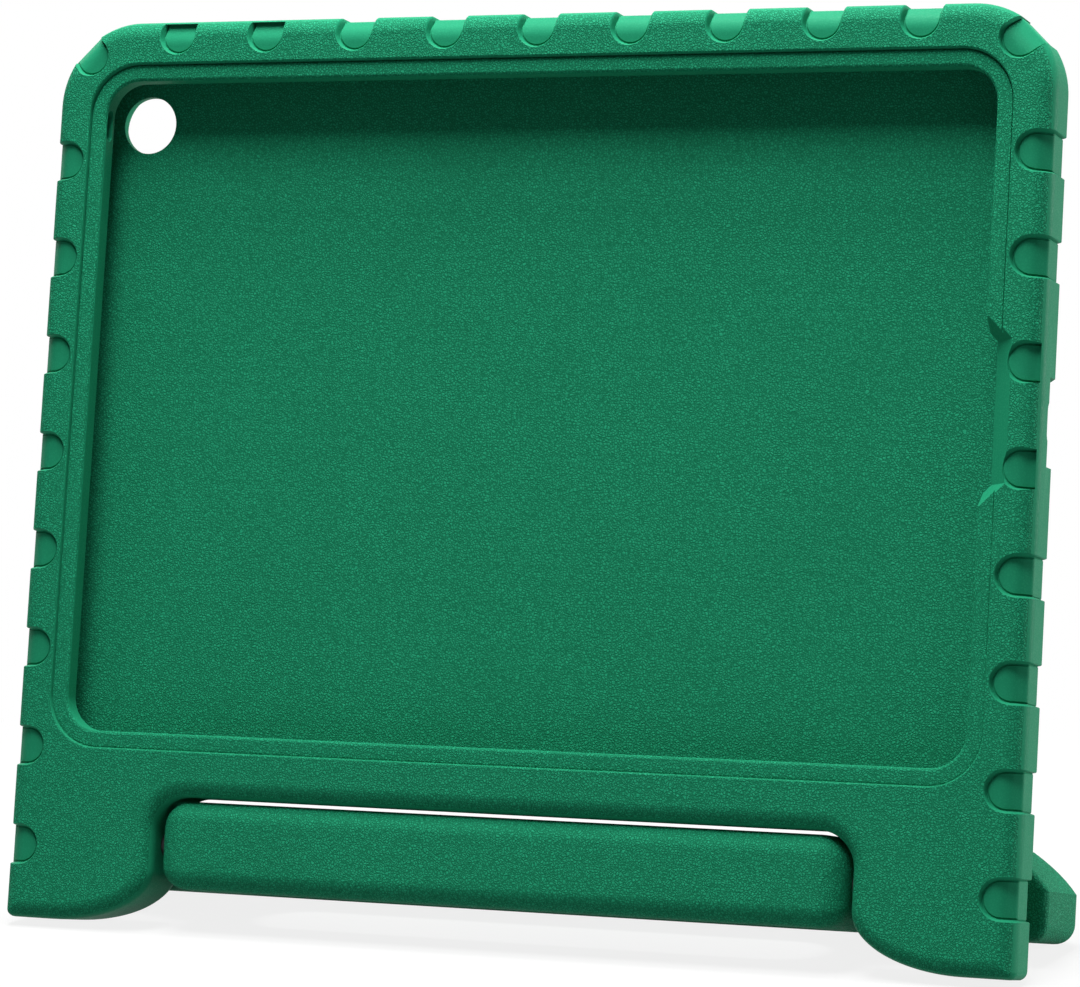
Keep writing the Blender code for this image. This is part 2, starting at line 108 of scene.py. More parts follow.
def flatRings(levels):
    return [[(x, y, z) for x, y in outline] for outline, z in levels]


def roundInset(radius, depth):
    # how far a round edge stands back at a depth below its face
    if depth >= radius:
        return 0.0
    return radius - math.sqrt(radius ** 2 - (radius - depth) ** 2)


def taperInset(height, run):
    # how far the outer side has come in, at a height above the back of the taper
    along = min(max(1 - height / run, 0.0), 1.0)
    return caseShape["sideTaper"] * along - caseShape["taperBulge"] * 4 * along * (1 - along)


taperStart = caseShape["sideRound"] + caseShape["sideFlat"]


def sideInset(thickness, depth):
    tapered = taperInset(thickness - depth, thickness - taperStart)
    return roundInset(caseShape["sideRound"], depth) + tapered


def edgeInset(thickness, depth, radius):
    return roundInset(radius, depth) + roundInset(radius, thickness - depth)


def sectionDepths(thickness, radius):
    steps = caseShape["roundSteps"]
    depths = [radius * (1 - math.cos(math.radians(90 * step / steps))) for step in range(steps + 1)]
    backDepths = [thickness - depth for depth in reversed(depths)]
    run = backDepths[0] - taperStart
    between = [taperStart + run * share for share in caseShape["taperShares"]]
    return depths + between + backDepths


def skinRings(shape, rings, slot=0):
    # a ring of edges is pushed through all the others, and both ends are capped
    corners = [shape.verts.new(point) for point in rings[0]]
    faces = [shape.faces.new(corners)]
    edges = list(faces[0].edges)
    for ring in rings[1:]:
        pushed = bmesh.ops.extrude_edge_only(shape, edges=edges)["geom"]
        fresh = {item for item in pushed if isinstance(item, bmesh.types.BMVert)}
        following = []
        for corner, point in zip(corners, ring):
            other = next(edge.other_vert(corner) for edge in corner.link_edges
                         if edge.other_vert(corner) in fresh)
            following.append((other, point))
        for corner, point in following:
            corner.co = point
        corners = [corner for corner, _ in following]
        edges = [item for item in pushed if isinstance(item, bmesh.types.BMEdge)]
        faces += [item for item in pushed if isinstance(item, bmesh.types.BMFace)]
    faces.append(shape.faces.new(corners))
    for face in faces:
        face.material_index = slot


def makeObject(name, shape):
    bmesh.ops.recalc_face_normals(shape, faces=shape.faces)
    mesh = bpy.data.meshes.new(name)
    shape.to_mesh(mesh)
    shape.free()
    made = bpy.data.objects.new(name, mesh)
    bpy.context.scene.collection.objects.link(made)
    return made


def skinObject(name, rings, slot=0):
    shape = bmesh.new()
    skinRings(shape, rings, slot)
    return makeObject(name, shape)


def carve(target, cutters):
    # each cutter's solid is taken out of the target for good; a cut face keeps its cutter's finish
    for solid in [target] + cutters:
        for finish in (foamGrained, foamSmooth):
            solid.data.materials.append(finish)
    for cutter in cutters:
        step = target.modifiers.new("carve", "BOOLEAN")
        step.operation = "DIFFERENCE"
        step.solver = "EXACT"
        step.object = cutter
        bpy.context.view_layer.update()
        evaluated = target.evaluated_get(bpy.context.evaluated_depsgraph_get())
        carved = bpy.data.meshes.new_from_object(evaluated)
        target.modifiers.clear()
        target.data = carved
        bpy.data.objects.remove(cutter)


meshFinish = {
    "weld": 0.002,
    "shortest": 0.001,
    "sharpAngle": 30,
    "shadingWeight": 60,
}


def finishPiece(piece, body, node):
    shape = bmesh.new()
    shape.from_mesh(piece.data)
    bmesh.ops.remove_doubles(shape, verts=shape.verts, dist=meshFinish["weld"])
    bmesh.ops.dissolve_degenerate(shape, dist=meshFinish["shortest"], edges=shape.edges)
    shape.transform(casePlace)
    shape.to_mesh(piece.data)
    shape.free()
    piece.data.shade_smooth()
    piece.data.set_sharp_from_angle(angle=math.radians(meshFinish["sharpAngle"]))
    even = piece.modifiers.new("evenShading", "WEIGHTED_NORMAL")
    even.keep_sharp = True
    even.weight = meshFinish["shadingWeight"]
    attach(piece, body)
    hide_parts(node)
    print(piece.name, len(piece.data.polygons), "faces")


# Finishes

def newMaterial(name):
    finish = bpy.data.materials.new(name)
    finish.use_nodes = True
    return finish, finish.node_tree, finish.node_tree.nodes["Principled BSDF"]


def addNode(tree, kind, links=None, **settings):
    node = tree.nodes.new(kind)
    for key, value in settings.items():
        if hasattr(node, key):
            setattr(node, key, value)
        else:
            node.inputs[key.replace("_", " ")].default_value = value
    for socket, source in (links or {}).items():
        tree.links.new(source, node.inputs[socket])
    return node


grainFinish = {
    "inputs": {"Cell Scale": 1450.0, "Pore Scale": 3000.0, "Wander": 0.12},
    "driftScale": 700.0,
    "wanderUnit": 0.01,
    "creaseWidth": 0.28,
    "foldScale": 900.0,
    "foldRoughness": 0.6,
    "poreShare": 0.25,
    "cloudScale": 45.0,
    "mottle": (0.42, 0.58),
}


def makeGrainGroup():
    # moulded leather grain: wrinkled cells with fine pores as a height, the creases between the
    # cells as a mask, and slow clouds that make the tone uneven
    group = bpy.data.node_groups.new("foamGrain", "ShaderNodeTree")
    for name, value in grainFinish["inputs"].items():
        socket = group.interface.new_socket(name, in_out="INPUT", socket_type="NodeSocketFloat")
        socket.default_value = value
    for name in ("Height", "Crease", "Mottle"):
        group.interface.new_socket(name, in_out="OUTPUT", socket_type="NodeSocketFloat")
    entry = group.nodes.new("NodeGroupInput")
    leave = group.nodes.new("NodeGroupOutput")
    where = addNode(group, "ShaderNodeTexCoord")
    drift = addNode(group, "ShaderNodeTexNoise", {"Vector": where.outputs["Object"]},
                    Scale=grainFinish["driftScale"], Detail=2.0)
    centred = addNode(group, "ShaderNodeVectorMath", {0: drift.outputs["Color"]},
                      operation="SUBTRACT")
    centred.inputs[1].default_value = (0.5, 0.5, 0.5)
    pull = addNode(group, "ShaderNodeMath", {0: entry.outputs["Wander"]}, operation="MULTIPLY")
    pull.inputs[1].default_value = grainFinish["wanderUnit"]
    shift = addNode(group, "ShaderNodeVectorMath", {0: centred.outputs[0], "Scale": pull.outputs[0]},
                    operation="SCALE")
    bent = addNode(group, "ShaderNodeVectorMath", {0: where.outputs["Object"], 1: shift.outputs[0]},
                   operation="ADD")
    cells = addNode(group, "ShaderNodeTexVoronoi",
                    {"Vector": bent.outputs[0], "Scale": entry.outputs["Cell Scale"]},
                    feature="DISTANCE_TO_EDGE")
    crease = addNode(group, "ShaderNodeMapRange", {"Value": cells.outputs["Distance"]},
                     interpolation_type="SMOOTHSTEP")
    crease.inputs["From Max"].default_value = grainFinish["creaseWidth"]
    pores = addNode(group, "ShaderNodeTexNoise",
                    {"Vector": where.outputs["Object"], "Scale": entry.outputs["Pore Scale"]},
                    Detail=3.0)
    folds = addNode(group, "ShaderNodeTexNoise", {"Vector": bent.outputs[0]},
                    Scale=grainFinish["foldScale"], Detail=3.0,
                    Roughness=grainFinish["foldRoughness"])
    mixed = addNode(group, "ShaderNodeMath", {0: crease.outputs["Result"], 1: folds.outputs["Fac"]},
                    operation="MULTIPLY")
    fine = addNode(group, "ShaderNodeMath", {0: pores.outputs["Fac"], 2: mixed.outputs[0]},
                   operation="MULTIPLY_ADD")
    fine.inputs[1].default_value = grainFinish["poreShare"]
    clouds = addNode(group, "ShaderNodeTexNoise", {"Vector": where.outputs["Object"]},
                     Scale=grainFinish["cloudScale"], Detail=3.0)
    mottle = addNode(group, "ShaderNodeMapRange", {"Value": clouds.outputs["Fac"]})
    mottle.inputs["To Min"].default_value = grainFinish["mottle"][0]
    mottle.inputs["To Max"].default_value = grainFinish["mottle"][1]
    group.links.new(fine.outputs[0], leave.inputs["Height"])
    group.links.new(crease.outputs["Result"], leave.inputs["Crease"])
    group.links.new(mottle.outputs["Result"], leave.inputs["Mottle"])
    return group


grainGroup = makeGrainGroup()

# the foam's colour runs with the grain's height: painted shade in the valleys between the grain and a painted
# highlight on its crests, weaker on the smooth finish; the slow mottle on top is the foam's own uneven tone
foamFinish = {
    "valleyPaintedShade": (0.004, 0.128, 0.060, 1.0),
    "crestPaintedHighlight": (0.014, 0.285, 0.145, 1.0),
    "smoothPaintedShade": (0.010, 0.190, 0.095, 1.0),
    "smoothPaintedHighlight": (0.014, 0.215, 0.108, 1.0),
    "lowAt": 0.05,
    "highAt": 0.42,
    "creaseRough": 0.08,
    "cellRough": -0.06,
    "bumpDepth": 0.00028,
    "grained": {"strength": 0.75, "roughness": 0.72, "specular": 0.07},
    "smooth": {"strength": 0.05, "roughness": 0.50, "specular": 0.035},
}


def makeFoam(name, low, high, strength, roughness, specular):
    finish, tree, shader = newMaterial(name)
    grain = tree.nodes.new("ShaderNodeGroup")
    grain.node_tree = grainGroup
    # the grain's height times its uneven mottle picks the colour, so the valleys get painted shade and the crests
    # a painted highlight
    tone = addNode(tree, "ShaderNodeMath", {0: grain.outputs["Height"], 1: grain.outputs["Mottle"]},
                   operation="MULTIPLY")
    ramp = addNode(tree, "ShaderNodeValToRGB", {"Fac": tone.outputs[0]})
    ramp.color_ramp.elements[0].position = foamFinish["lowAt"]
    ramp.color_ramp.elements[0].color = low
    ramp.color_ramp.elements[1].position = foamFinish["highAt"]
    ramp.color_ramp.elements[1].color = high
    worn = addNode(tree, "ShaderNodeMapRange", {"Value": grain.outputs["Crease"]})
    worn.inputs["To Min"].default_value = roughness + foamFinish["creaseRough"]
    worn.inputs["To Max"].default_value = roughness + foamFinish["cellRough"]
    bump = addNode(tree, "ShaderNodeBump", {"Height": grain.outputs["Height"]})
    bump.inputs["Strength"].default_value = strength
    bump.inputs["Distance"].default_value = foamFinish["bumpDepth"]
    tree.links.new(ramp.outputs["Color"], shader.inputs["Base Color"])
    tree.links.new(worn.outputs["Result"], shader.inputs["Roughness"])
    tree.links.new(bump.outputs["Normal"], shader.inputs["Normal"])
    shader.inputs["Specular IOR Level"].default_value = specular
    return finish


foamGrained = makeFoam("foamGrained", foamFinish["valleyPaintedShade"], foamFinish["crestPaintedHighlight"],
                       **foamFinish["grained"])
foamSmooth = makeFoam("foamSmooth", foamFinish["smoothPaintedShade"], foamFinish["smoothPaintedHighlight"],
                      **foamFinish["smooth"])


# The case

def caseOutline(side, edge):
    shape = caseShape
    outer = shape["halfWidth"] - side
    corner = shape["cornerRadius"] - side
    heel = max(shape["legCorner"] - max(side, edge), shape["legCorner"] / shape["legCornerParts"])
    toe = (shape["notchHalf"] + shape["toeLength"], shape["bottom"] + shape["toeHeight"])
    inner = (shape["notchHalf"] - shape["notchCorner"], shape["ceiling"] - shape["notchCorner"])
    reach = shape["notchCorner"] + edge
    half = arcPoints((outer - corner, shape["top"] - side - corner), (corner, corner), 90, 0,
                     shape["cornerSteps"])
    half += arcPoints((outer - heel, shape["bottom"] + edge + heel), (heel, heel), 0, -90,
                      shape["smallSteps"])
    half += arcPoints(toe, (shape["toeLength"] - edge, shape["toeHeight"] - edge), -90, -180,
                      shape["cornerSteps"])
    half += arcPoints(inner, (reach, reach), 0, 90)
    return mirrorOutline(half)


caseThickness = caseShape["front"] - caseShape["back"]

openingShape = {
    "pocketX": 125.8,
    "pocketY": 87.55,
    "pocketCorner": 9.0,
    "pocketDepth": 8.0,
    "openingX": 119.75,
    "openingY": 84.35,
    "openingCorner": 9.0,
    "lipTop": 4.7,
    "lipEdge": 1.0,
    "lipTurn": 82,
    "lipSteps": 6,
    "lipBand": 3.9,
    "creaseWidth": 0.4,
    "creaseDepth": 0.55,
    "creaseStart": ((-0.1, 0.0), (0.05, 0.12), (0.1, 1.0)),
    "creaseLeast": 0.12,
    "creaseMiddle": 0.55,
    "fadeBelow": 20,
    "fadeUp": 130,
    "fadeAcross": 60,
    "rimGap": 0.05,
    "rimEdge": 0.5,
    "rimTurn": 80,
    "rimSteps": 4,
    "reliefHalf": 17.3,
    "reliefDepth": 1.85,
    "reliefSlope": 0.88,
    "reliefRise": 1.0,
    "reliefFloor": -0.5,
}


def creaseShare(x, y):
    # the line beside the lip is full at the top and the left, and fades towards the bottom right
    shape = openingShape
    low = (y + shape["openingY"]) / shape["fadeBelow"]
    right = shape["creaseMiddle"] + y / shape["fadeUp"] + max(-x, 0) / shape["fadeAcross"]
    return min(max(min(low, right), shape["creaseLeast"]), 1.0)


def openingRing(grow):
    shape = openingShape
    return roundedBox(shape["openingX"] + grow, shape["openingY"] + grow,
                      shape["openingCorner"] + grow)


def screenCutter():
    shape = openingShape
    pocket = roundedBox(shape["pocketX"], shape["pocketY"], shape["pocketCorner"])
    levels = [(pocket, -shape["pocketDepth"]), (pocket, 0.0), (openingRing(0.0), 0.0)]
    lipLow = shape["lipTop"] - shape["lipEdge"]
    for step in range(shape["lipSteps"] + 1):
        angle = math.radians(shape["lipTurn"] * step / shape["lipSteps"])
        grow = shape["lipEdge"] * (1 - math.cos(angle))
        levels.append((openingRing(grow), lipLow + shape["lipEdge"] * math.sin(angle)))
    creased = {}
    for grow, deep in shape["creaseStart"] + ((shape["creaseWidth"], 1.0),):
        creased[len(levels)] = deep * shape["creaseDepth"]
        levels.append((openingRing(shape["lipBand"] + grow), shape["lipTop"]))
    rim = shape["lipBand"] + shape["creaseWidth"] + shape["rimGap"]
    rimLow = caseShape["front"] - shape["rimEdge"]
    for step in range(shape["rimSteps"] + 1):
        angle = math.radians(shape["rimTurn"] * step / shape["rimSteps"])
        grow = shape["rimEdge"] * (1 - math.cos(angle))
        levels.append((openingRing(rim + grow), rimLow + shape["rimEdge"] * math.sin(angle)))
    levels.append((openingRing(rim + shape["rimEdge"]), caseShape["front"] + overcut))
    rings = flatRings(levels)
    for index, deep in creased.items():
        rings[index] = [(x, y, z - deep * creaseShare(x, y)) for x, y, z in rings[index]]
    return skinObject("screenCutter", rings)


def reliefCutter():
    shape = openingShape
    levels = []
    for z in (shape["reliefFloor"], caseShape["front"] + overcut):
        out = shape["openingX"] + shape["reliefDepth"] + shape["reliefSlope"] * z
        half = shape["reliefHalf"]
        wide = half + out - shape["openingX"]
        inside = shape["openingX"] - overcut
        outline = [(inside, -wide), (shape["openingX"], -wide), (out, -half), (out, half),
                   (shape["openingX"], wide), (inside, wide)]
        levels.append(([(x, y + shape["reliefRise"]) for x, y in outline], z))
    return skinObject("reliefCutter", flatRings(levels), 1)


# The grip grooves

grooveShape = {
    "halfWidth": 5.0,
    "flank": 0.45,
    "footWidth": 0.4,
    "footShare": 0.2,
    "length": 9.2,
    "depth": 1.35,
    "sideDepth": 0.85,
    "leftShallow": 0.45,
    "floorRound": 5.35,
    "slope": 1.9,
    "strip": 0.9,
    "lip": 0.35,
    "footCurve": 0.35,
    "wallStart": 0.05,
    "lipCurve": ((-0.3, 1.0), (0.1, 0.35)),
    "lipPast": (1.1, 1.15),
    "endSteps": 10,
    "endBelow": 89.9,
    "closedSteps": 7,
    "floorSteps": 6,
    "soft": 0.5,
    "softCorner": ((0.25, 0.85), (0.0, 1.9)),
    "sideShares": (0.0, 0.17, 0.33, 0.5, 0.66, 0.83, 1.25),
    "weld": 0.0001,
    "sidePitch": 25.4,
    "sideCount": 8,
    "sideAbove": 2.5,
    "sideClosed": (2, 3),
    "topPitch": 25.0,
    "topCount": 9,
    "topClosed": (0, 1),
}


def floorTurn(shallow):
    # where the groove's floor begins to turn down; it turns by 45 degrees and then slopes on
    shape = grooveShape
    return 2 * shallow - shape["sideDepth"] - shape["slope"] - shape["floorRound"] * math.sqrt(0.5)


def floorHeight(out, shallow=0.0):
    shape = grooveShape
    flat = caseShape["front"] - shape["depth"]
    past = out - floorTurn(shallow)
    if past <= 0:
        return flat
    turned = shape["floorRound"] * math.sqrt(0.5)
    if past <= turned:
        return flat - shape["floorRound"] + math.sqrt(shape["floorRound"] ** 2 - past ** 2)
    return flat - shape["floorRound"] + turned - (past - turned)


def landHeight(out):
    radius = caseShape["sideRound"]
    if out <= -radius:
        return caseShape["front"]
    return caseShape["front"] - radius + math.sqrt(radius ** 2 - (out + radius) ** 2)


def grooveSections(closed, shallow):
    # floor and land as (out, z) for each station along the groove, and the angle round its end
    shape = grooveShape
    centre = shape["halfWidth"] - shape["length"]
    sections = []
    for step in range(shape["endSteps"] + 1):
        angle = math.radians(90 * step / shape["endSteps"])
        floorOut = centre - (shape["halfWidth"] - shape["flank"]) * math.cos(angle)
        landOut = centre - shape["halfWidth"] * math.cos(angle)
        floor = (floorOut, floorHeight(floorOut, shallow))
        sections.append((floor, (landOut, landHeight(landOut)), angle))
    straight = math.radians(90)
    if closed:
        # it stops short of the side, and its floor comes up to follow the case's rounding
        front = caseShape["front"]
        steps = shape["closedSteps"]
        sections = [(floor, (land[0], front), angle) for floor, land, angle in sections]
        run = -shape["strip"] - centre
        for step in range(1, steps + 1):
            out = centre + run * step / steps
            low = floorHeight(out)
            low += max(landHeight(out) - shape["depth"] - low, 0.0) * (step / steps) ** 2
            sections.append(((out, low), (out, front), straight))
        return sections
    corner = shallow - shape["sideDepth"]
    soft = shape["soft"]
    steps = shape["floorSteps"]
    floors = [centre + (corner - soft - centre) * step / steps for step in range(1, steps + 1)]
    floors = [(out, floorHeight(out, shallow)) for out in floors]
    cornerHeight = floorHeight(corner - soft, shallow)
    for back, down in shape["softCorner"]:
        floors.append((corner - soft * back, cornerHeight - soft * down))
    for step, floor in enumerate(floors, 1):
        landAngle = straight * (1 - step / len(floors))
        land = (caseShape["sideRound"] * (math.cos(landAngle) - 1),
                caseShape["front"] + caseShape["sideRound"] * (math.sin(landAngle) - 1))
        sections.append((floor, land, straight))
    run = caseThickness - taperStart
    for share in shape["sideShares"]:
        z = caseShape["front"] - taperStart - run * share
        out = -taperInset(run * (1 - share), run) - max(share - 1, 0) * caseShape["sideTaper"]
        sections.append(((out + corner, z), (out, z), straight))
    return sections


def grooveProfile():
    # half width and share of the depth, from the fine crease at the floor's edge up the drafted
    # wall and its soft lip
    shape = grooveShape
    floorHalf = shape["halfWidth"] - shape["flank"]
    foot = shape["footWidth"]
    profile = [(floorHalf - foot, 0.0),
               (floorHalf - shape["footCurve"] * foot, -shape["footShare"]),
               (floorHalf + shape["wallStart"], -shape["footShare"])]
    for out, down in shape["lipCurve"]:
        profile.append((shape["halfWidth"] + out * shape["lip"], 1 - shape["lip"] * down))
    past, share = shape["lipPast"]
    return profile + [(shape["halfWidth"] + shape["lip"] * past, share)]


def addGroove(shape, origin, outward, closed=False, shallow=0.0):
    lateral = Vector((-outward.y, outward.x, 0))
    profile = grooveProfile()
    fullHalf = grooveShape["halfWidth"]
    centre = fullHalf - grooveShape["length"]
    rings = []
    for floor, land, angle in grooveSections(closed, shallow):
        opened = angle > math.radians(grooveShape["endBelow"])
        deep = math.dist(floor, land) / grooveShape["depth"] if opened else 1.0
        ring = []
        for side in (1, -1):
            for half, share in profile[::side]:
                out = floor[0] + (land[0] - floor[0]) * share
                z = floor[1] + (land[1] - floor[1]) * share
                half = max(half, fullHalf - (fullHalf - half) * deep)
                if not opened:
                    out = centre - half * math.cos(angle)
                    low = floorHeight(out, shallow)
                    high = caseShape["front"] if closed else landHeight(out)
                    z = low + (high - low) * share
                ring.append(origin + outward * out + lateral * (side * half * math.sin(angle))
                            + Vector((0, 0, z)))
        rings.append(ring)
    skinRings(shape, rings, 1)


def grooveCutter():
    shape = bmesh.new()
    grooves = grooveShape
    for index in range(grooves["sideCount"]):
        y = (grooves["sideAbove"] - index) * grooves["sidePitch"]
        closed = index in grooves["sideClosed"]
        addGroove(shape, Vector((caseShape["halfWidth"], y, 0)), Vector((1, 0, 0)), closed)
        addGroove(shape, Vector((-caseShape["halfWidth"], y, 0)), Vector((-1, 0, 0)),
                  shallow=grooves["leftShallow"])
    for index in range(grooves["topCount"]):
        x = (index - (grooves["topCount"] - 1) / 2) * grooves["topPitch"]
        addGroove(shape, Vector((x, caseShape["top"], 0)), Vector((0, 1, 0)),
                  index in grooves["topClosed"])
    for side in (-1, 1):
        outward = Vector((side, 1, 0)).normalized()
        radius = caseShape["cornerRadius"]
        centre = Vector((side * (caseShape["halfWidth"] - radius), caseShape["top"] - radius, 0))
        shallow = grooves["leftShallow"] if side < 0 else 0.0
        addGroove(shape, centre + outward * radius, outward, shallow=shallow)
    bmesh.ops.remove_doubles(shape, verts=shape.verts, dist=grooves["weld"])
    return makeObject("grooveCutter", shape)


# Openings for the tablet's own sockets, buttons and camera, and the panel in the back

socketShape = {
    "height": -4.0,
    "portHalf": 5.2,
    "portHalfHeight": 2.5,
    "portDrop": 0.7,
    "slotFlat": 0.01,
    "slotSteps": 10,
    "dishHalf": 10.8,
    "dishStart": -2.2,
    "dishLean": 0.5,
    "dishFlare": 0.35,
    "dishMargin": 0.05,
    "jackY": -76.55,
    "jackRadius": 3.5,
    "powerY": 73.05,
    "powerHalf": 4.0,
    "powerHalfHeight": 1.5,
    "powerDepth": 3.0,
    "powerHeight": 2.3,
    "cameraX": -113.3,
    "cameraY": 75.05,
    "cameraRadius": 7.5,
    "cameraFlare": 3.5,
    "cameraStraight": 0.4,
    "cameraSides": 60,
    "panelX": 106.8,
    "panelY": 68.55,
    "panelCorner": 12.0,
    "panelDepth": 2.0,
    "backWall": 4.8,
}


def slotCutter(name, halfLength, halfHeight, low, high, y, z):
    outline = roundedBox(halfLength, halfHeight, halfHeight - socketShape["slotFlat"],
                         socketShape["slotSteps"])
    rings = [[(x, y + across, z + up) for across, up in outline] for x in (low, high)]
    return skinObject(name, rings, 1)


def dishCutter():
    shape = socketShape
    high = caseShape["halfWidth"] + overcut
    wide = shape["dishHalf"] + overcut * shape["dishFlare"]
    rings = []
    for z in (shape["dishStart"], caseShape["back"] - overcut):
        inward = (shape["dishStart"] - z) * shape["dishLean"] - shape["dishMargin"]
        half = shape["dishHalf"] - inward * shape["dishFlare"]
        low = caseShape["halfWidth"] - inward
        rings.append([(low, -half - shape["portDrop"], z), (low, half - shape["portDrop"], z),
                      (high, wide - shape["portDrop"], z), (high, -wide - shape["portDrop"], z)])
    return skinObject("dishCutter", rings, 1)


def cameraCutter():
    shape = socketShape
    centre = (shape["cameraX"], shape["cameraY"])
    pocketFloor = -openingShape["pocketDepth"]
    flareStart = pocketFloor - shape["backWall"] * shape["cameraStraight"]
    straight = circlePoints(centre, shape["cameraRadius"], shape["cameraSides"])
    flared = circlePoints(centre, shape["cameraRadius"] + shape["cameraFlare"], shape["cameraSides"])
    levels = [(straight, pocketFloor + overcut), (straight, flareStart),
              (flared, caseShape["back"] - overcut)]
    return skinObject("cameraCutter", flatRings(levels), 1)


def panelCutter():
    shape = socketShape
    levels = []
    deep = shape["panelDepth"]
    for grow, z in ((0.0, deep), (deep, 0.0), (deep, -overcut)):
        outline = roundedBox(shape["panelX"] + grow, shape["panelY"] + grow,
                             shape["panelCorner"] + grow)
        levels.append((outline, caseShape["back"] + z))
    return skinObject("panelCutter", flatRings(levels))


# The handle, drawn from its hinge: X along the bar, and reach away from it

handleShape = {
    "barHeight": 22.3,
    "barDepth": 20.0,
    "barRound": 5.0,
    "barEndRound": 7.0,
    "barHalf": 91.8,
    "barCorner": 7.8,
    "shoulder": 15.5,
    "shoulderCorner": 1.5,
    "shoulderSteps": 8,
    "armGap": 1.8,
    "nearCorner": 2.0,
    "halfWidth": 133.0,
    "reach": 60.5,
    "farCorner": 12.5,
    "holeHalf": 76.0,
    "holeNear": 12.5,
    "holeFar": 38.0,
    "holeCorner": 12.0,
    "holeRound": 4.5,
    "holeTurn": 84,
    "holeFlare": 0.6,
    "holeSteps": 8,
    "holeCornerSteps": 20,
    "drop": 0.9,
    "pinRadius": 3.0,
    "pinGap": 0.3,
    "pinDepth": 12.0,
    "boreSides": 36,
    "swingGap": 0.5,
    "swingAngles": (0, 15, 30, 45, 60, 72, 80),
    "swingSides": 72,
    "barGap": 1.0,
}

hingeJoint = frame["joints"][0]
tabletSeat = next(mount for mount in frame["record"]["mounts"] if mount["name"] == "tablet_seat")
hingePlace = Vector(hingeJoint["pos_m"])
hingeHeight = caseShape["ceiling"] - handleShape["barGap"] - handleShape["barHeight"] / 2
hingeLocal = Vector((0, hingeHeight, (caseShape["front"] + caseShape["back"]) / 2))
leanBack = math.atan2(tabletSeat["axis"][2], -tabletSeat["axis"][1])
standTurn = Matrix.Rotation(math.pi / 2 - leanBack, 4, "X") @ Matrix.Scale(millimetre, 4)
casePlace = Matrix.Translation(hingePlace - standTurn @ hingeLocal) @ standTurn


def handleOutline(side, edge, endInset):
    shape = handleShape
    corner = shape["barCorner"]
    toe = (caseShape["notchHalf"] + caseShape["toeLength"],
           hingeLocal.y - caseShape["bottom"] - caseShape["toeHeight"])
    across = caseShape["toeLength"] + shape["armGap"] + edge
    along = caseShape["toeHeight"] + shape["armGap"] + edge
    lift = math.degrees(math.asin((shape["shoulder"] + edge - toe[1]) / along))
    outer = shape["halfWidth"] - side
    near = min(shape["nearCorner"], (outer - toe[0]) / 2)
    far = shape["farCorner"] - side
    half = arcPoints((shape["barHalf"] - corner, corner - shape["barDepth"] / 2),
                     (corner - endInset, corner - edge), -90, 0)
    turn = shape["shoulderCorner"]
    half += arcPoints((shape["barHalf"] + turn, shape["shoulder"] - turn),
                      (turn + endInset, turn + edge), 180, 90, shape["shoulderSteps"])
    half += arcPoints(toe, (across, along), 180 - lift, 90)
    half += arcPoints((outer - near, toe[1] + along + near), (near, near), -90, 0,
                      caseShape["smallSteps"])
    half += arcPoints((outer - far, shape["reach"] - side - far), (far, far), 0, 90)
    return mirrorOutline(half)


def handleBody():
    shape = handleShape
    height = shape["barHeight"]
    rings = []
    for depth in sectionDepths(height, shape["barRound"]):
        outline = handleOutline(sideInset(height, depth), edgeInset(height, depth, shape["barRound"]),
                                edgeInset(height, depth, shape["barEndRound"]))
        rings.append([(x, depth - height / 2, -reach) for x, reach in outline])
    return skinObject("handleFoam", rings)


def handHoleCutter():
    shape = handleShape
    middle = (shape["holeNear"] + shape["holeFar"]) / 2
    halfY = (shape["holeFar"] - shape["holeNear"]) / 2
    face = shape["barHeight"] / 2
    radius = shape["holeRound"]
    flare = []
    for step in range(shape["holeSteps"] + 1):
        angle = math.radians(shape["holeTurn"] * step / shape["holeSteps"])
        flare.append((face - radius * (1 - math.sin(angle)), radius * (1 - math.cos(angle))))
    heights = flare + [(face + overcut, flare[-1][1] + shape["holeFlare"])]
    heights = [(-y, grow) for y, grow in reversed(heights)] + heights
    rings = []
    for y, grow in heights:
        outline = roundedBox(shape["holeHalf"] + grow, halfY + grow, shape["holeCorner"] + grow,
                             shape["holeCornerSteps"])
        rings.append([(x, y, -middle - reach) for x, reach in outline])
    return skinObject("handHoleCutter", rings)


def pinBore(side, low, high, y, z):
    radius = handleShape["pinRadius"] + handleShape["pinGap"]
    circle = circlePoints((y, z), radius, handleShape["boreSides"])
    rings = [[(side * x, across, up) for across, up in circle] for x in (low, high)]
    return skinObject("pinBore", rings, 1)


def swingCutter():
    # room in the notch for the squarish bar to turn
    shape = handleShape
    inner = (shape["barDepth"] / 2 - shape["barRound"], shape["barHeight"] / 2 - shape["barRound"])
    widest = math.hypot(*inner) + shape["barRound"] + shape["swingGap"]
    start = shape["barHalf"] - shape["barEndRound"]
    reach = shape["barEndRound"] + shape["swingGap"]
    half = []
    for angle in shape["swingAngles"]:
        half.append((start + reach * math.sin(math.radians(angle)),
                     widest - reach * (1 - math.cos(math.radians(angle)))))
    rings = []
    for x, radius in [(-x, radius) for x, radius in reversed(half)] + half:
        circle = circlePoints((hingeLocal.y, hingeLocal.z), radius, shape["swingSides"])
        rings.append([(x, y, z) for y, z in circle])
    return skinObject("swingCutter", rings)


